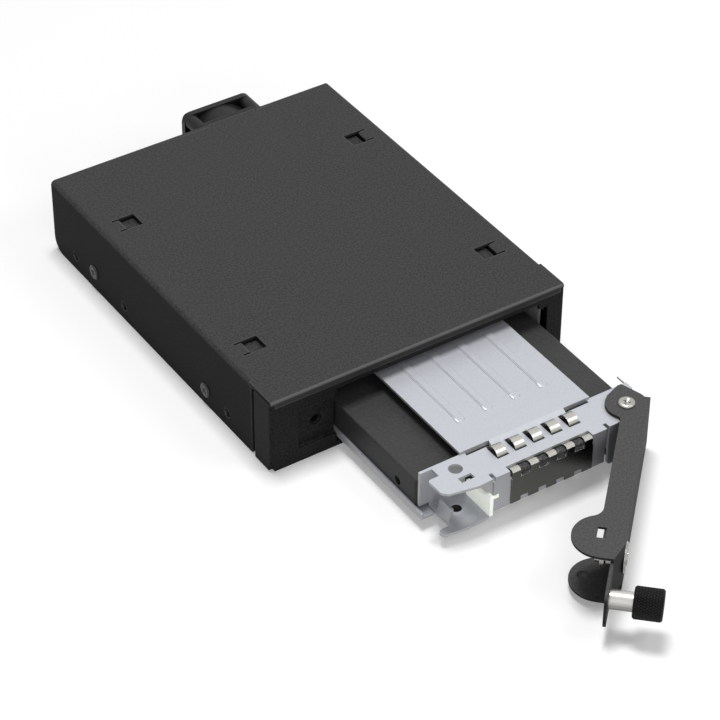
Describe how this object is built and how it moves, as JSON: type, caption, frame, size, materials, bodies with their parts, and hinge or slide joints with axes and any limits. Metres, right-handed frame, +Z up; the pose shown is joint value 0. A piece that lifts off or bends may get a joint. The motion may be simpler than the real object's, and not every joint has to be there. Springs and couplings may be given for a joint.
{
  "type": "hard drive mobile rack",
  "caption": "Slim bay rack with a drawn-out drive tray, a sheet bracket with a ribbed tongue and spring fingers, a cam lever with key lock and thumbscrew, and a rear fan.",
  "frame": {"origin": "middle of the front face at the height of the underside, the datum of the bay that the housing slides into", "axes": "+X to the right seen from the front, +Y into the bay towards the rear, +Z up"},
  "size_m": [0.1026, 0.2549, 0.0254],
  "materials": {
    "black_powder_coat": "fine textured powder coat",
    "black_panel_coat": "fine textured powder coat",
    "black_lever_coat": "fine textured powder coat",
    "zinc_sheet": "satin zinc",
    "rail_steel": "satin",
    "spring_steel": "bright",
    "screw_steel": "bright",
    "black_screw": "black oxide",
    "brass_nut": "satin",
    "board_laminate": "solder mask",
    "connector_plastic": "moulded",
    "fan_plastic": "moulded",
    "insulator_film": "matt film",
    "drive_case": "satin black",
    "pad_rubber": "matt",
    "clear_plastic": "frosted clear plastic",
    "washer_plastic": "smooth",
    "lock_chrome": "polished",
    "ferrule_nickel": "satin nickel",
    "knob_plastic": "knurled"
  },
  "bodies": {
    "housing": {"top_cover": "black_powder_coat", "base_pan": "zinc_sheet", "side_screws": "screw_steel", "front_panel": "black_panel_coat", "lock_nut": "brass_nut", "rear_panel": "black_panel_coat", "left_guide_rail": "rail_steel", "right_guide_rail": "rail_steel", "backplane_board": "board_laminate", "standoffs": "brass_nut", "board_screws": "screw_steel", "panel_screws": "black_screw", "drive_receptacle": "connector_plastic", "power_port": "connector_plastic", "signal_port": "connector_plastic", "fan_frame": "fan_plastic", "fan_screws": "black_screw"},
    "fan": {"fan_rotor": "fan_plastic", "fan_shaft": "screw_steel"},
    "tray": {"tray_base": "zinc_sheet", "insulating_sheet": "insulator_film", "drive_body": "drive_case", "drive_plug": "connector_plastic", "drive_screws": "screw_steel", "tray_bracket": "zinc_sheet", "finger_strip": "spring_steel", "gap_pad": "pad_rubber", "light_pipe": "clear_plastic", "side_spring": "spring_steel", "pivot_post": "screw_steel", "pivot_screw": "screw_steel", "pivot_rivet": "screw_steel", "lever_washers": "washer_plastic"},
    "lever": {"lever_arm": "black_lever_coat", "lock_barrel": "lock_chrome", "thumbscrew_ferrule": "ferrule_nickel"},
    "lock": {"lock_plug": "lock_chrome", "lock_cam": "spring_steel", "cam_nut": "screw_steel"},
    "screw_slide": {"thumbscrew_washer": "screw_steel"},
    "screw": {"thumbscrew": "screw_steel", "thumbscrew_knob": "knob_plastic"}
  },
  "joints": [
    {"name": "tray_slide", "type": "slide", "parent": "housing", "child": "tray", "axis": [0, 1, 0], "range_m": [-0.04, 0.0519]},
    {"name": "lever_pivot", "type": "hinge", "parent": "tray", "child": "lever", "pos_m": [0.0378, -0.0476, 0.0103], "axis": [0, 0, 1], "range_deg": [-46, 40]},
    {"name": "lock_turn", "type": "hinge", "parent": "lever", "child": "lock", "pos_m": [0.00113, -0.0899, 0.0116], "axis": [0.7193, -0.6947, 0], "range_deg": [0, 90]},
    {"name": "screw_push", "type": "slide", "parent": "lever", "child": "screw_slide", "axis": [-0.7193, 0.6947, 0], "range_m": [0, 0.004], "stiffness_N_per_m": 150, "springref_m": -0.002},
    {"name": "screw_turn", "type": "hinge", "parent": "screw_slide", "child": "screw", "pos_m": [-0.00558, -0.10691, 0.0116], "axis": [0.7193, -0.6947, 0], "continuous": true},
    {"name": "fan_spin", "type": "hinge", "parent": "housing", "child": "fan", "pos_m": [0.0142, 0.133, 0.0127], "axis": [0, 1, 0], "continuous": true}
  ]
}
